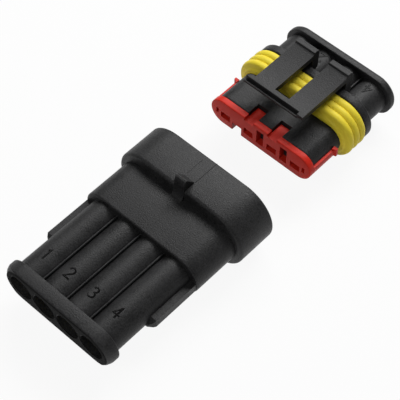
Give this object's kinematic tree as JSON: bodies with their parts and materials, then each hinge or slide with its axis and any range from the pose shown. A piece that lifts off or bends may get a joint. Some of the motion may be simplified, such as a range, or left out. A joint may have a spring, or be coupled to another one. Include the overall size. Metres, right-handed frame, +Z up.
{
  "type": "sealed wire-to-wire connector",
  "caption": "Sealed in-line connector in two halves: a hooded cap with tabs, and a plug with ring seal, lock plate and latch that slides into it.",
  "frame": {"origin": "centre of the footprint of both halves as laid out, on the surface they stand on", "axes": "+X across the width, +Y along the mating axis from the cap's wire end to the plug's wire end, +Z up out of the latch side"},
  "size_m": [0.0314, 0.0816, 0.0163],
  "materials": {
    "black_nylon": "fine matt grain, black",
    "red_plastic": "satin, red",
    "yellow_silicone": "satin, yellow",
    "tinned_brass": "bright tin plating"
  },
  "bodies": {
    "cap": {"cap_housing": "black_nylon", "tab_contact_1": "tinned_brass", "tab_contact_2": "tinned_brass", "tab_contact_3": "tinned_brass", "tab_contact_4": "tinned_brass", "cap_wire_seal_1": "yellow_silicone", "cap_wire_seal_2": "yellow_silicone", "cap_wire_seal_3": "yellow_silicone", "cap_wire_seal_4": "yellow_silicone"},
    "cap_lock": {"cap_lock": "red_plastic"},
    "plug": {"plug_housing": "black_nylon", "ring_seal": "yellow_silicone", "socket_contact_1": "tinned_brass", "socket_contact_2": "tinned_brass", "socket_contact_3": "tinned_brass", "socket_contact_4": "tinned_brass", "plug_wire_seal_1": "yellow_silicone", "plug_wire_seal_2": "yellow_silicone", "plug_wire_seal_3": "yellow_silicone", "plug_wire_seal_4": "yellow_silicone"},
    "latch": {"latch": "black_nylon"},
    "front_lock": {"front_lock": "red_plastic"}
  },
  "joints": [
    {"name": "mate", "type": "slide", "parent": "cap", "child": "plug", "axis": [0, -1, 0], "range_m": [0, 0.0292]},
    {"name": "cap_lock_slide", "type": "slide", "parent": "cap", "child": "cap_lock", "axis": [0, 1, 0], "range_m": [0, 0.001]},
    {"name": "front_lock_slide", "type": "slide", "parent": "plug", "child": "front_lock", "axis": [0, -1, 0], "range_m": [0, 0.0016]},
    {"name": "latch_pivot", "type": "hinge", "parent": "plug", "child": "latch", "pos_m": [0, 0.0333, 0.01155], "axis": [-1, 0, 0], "range_deg": [0, 12], "stiffness_Nm_per_rad": 0.02}
  ]
}
